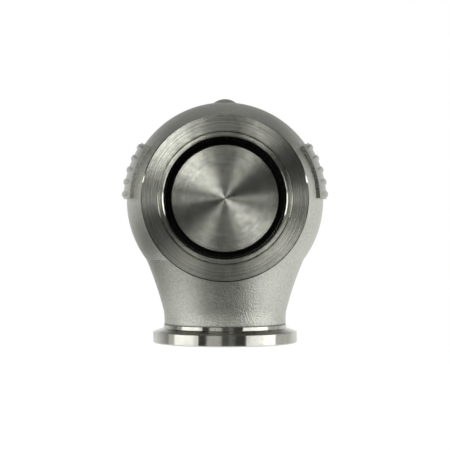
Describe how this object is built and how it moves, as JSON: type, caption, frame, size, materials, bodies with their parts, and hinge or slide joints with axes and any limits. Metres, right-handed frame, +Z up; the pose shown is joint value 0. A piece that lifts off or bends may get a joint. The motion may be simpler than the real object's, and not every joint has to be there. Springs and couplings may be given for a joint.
{
  "type": "turbo wastegate",
  "caption": "External exhaust wastegate: cast steel body with clamp flanges at inlet and outlet, poppet valve on a stem, sprung diaphragm actuator with pressure ports.",
  "frame": {"origin": "centre of the outlet bore in the outlet flange's mating face", "axes": "+Z up from the outlet flange into the body, -Y out of the inlet flange along the valve axis, +Y towards the actuator's cap"},
  "size_m": [0.0788, 0.1274, 0.0929],
  "materials": {
    "cast_steel": "bead-blasted investment casting, machined flanges",
    "seat_steel": "turned",
    "valve_steel": "face-turned, fine lathe rings",
    "guide_bronze": "machined",
    "gasket_board": "matt mineral board",
    "housing_aluminium": "satin, clear anodised",
    "plate_aluminium": "turned",
    "diaphragm_rubber": "matt, fabric reinforced",
    "seal_rubber": "matt",
    "spring_steel": "oiled wire",
    "hardware_steel": "stainless"
  },
  "bodies": {
    "housing": {"valve_body": "cast_steel", "seat_ring": "seat_steel", "valve_guide": "guide_bronze", "insulating_gasket": "gasket_board", "alignment_dowel": "hardware_steel", "actuator_base": "housing_aluminium", "base_port_plug": "hardware_steel", "stem_scraper": "hardware_steel", "base_bushing": "guide_bronze", "stem_seal": "seal_rubber", "base_screws": "hardware_steel", "base_screw_washers": "hardware_steel", "diaphragm": "diaphragm_rubber", "outer_spring": "spring_steel", "inner_spring": "spring_steel", "spring_shim": "hardware_steel", "actuator_cap": "housing_aluminium", "cap_screws": "hardware_steel", "cap_screw_washers": "hardware_steel"},
    "valve_assembly": {"valve": "valve_steel", "lower_plate": "plate_aluminium", "stem_ring": "seal_rubber", "spring_cup": "plate_aluminium", "stem_washer": "hardware_steel", "stem_lock_nut": "hardware_steel"}
  },
  "joints": [
    {"name": "valve_lift", "type": "slide", "parent": "housing", "child": "valve_assembly", "axis": [0, 1, 0], "range_m": [0, 0.011], "stiffness_N_per_m": 8900, "springref_m": -0.015, "deforming": ["outer_spring", "inner_spring", "diaphragm"]}
  ]
}
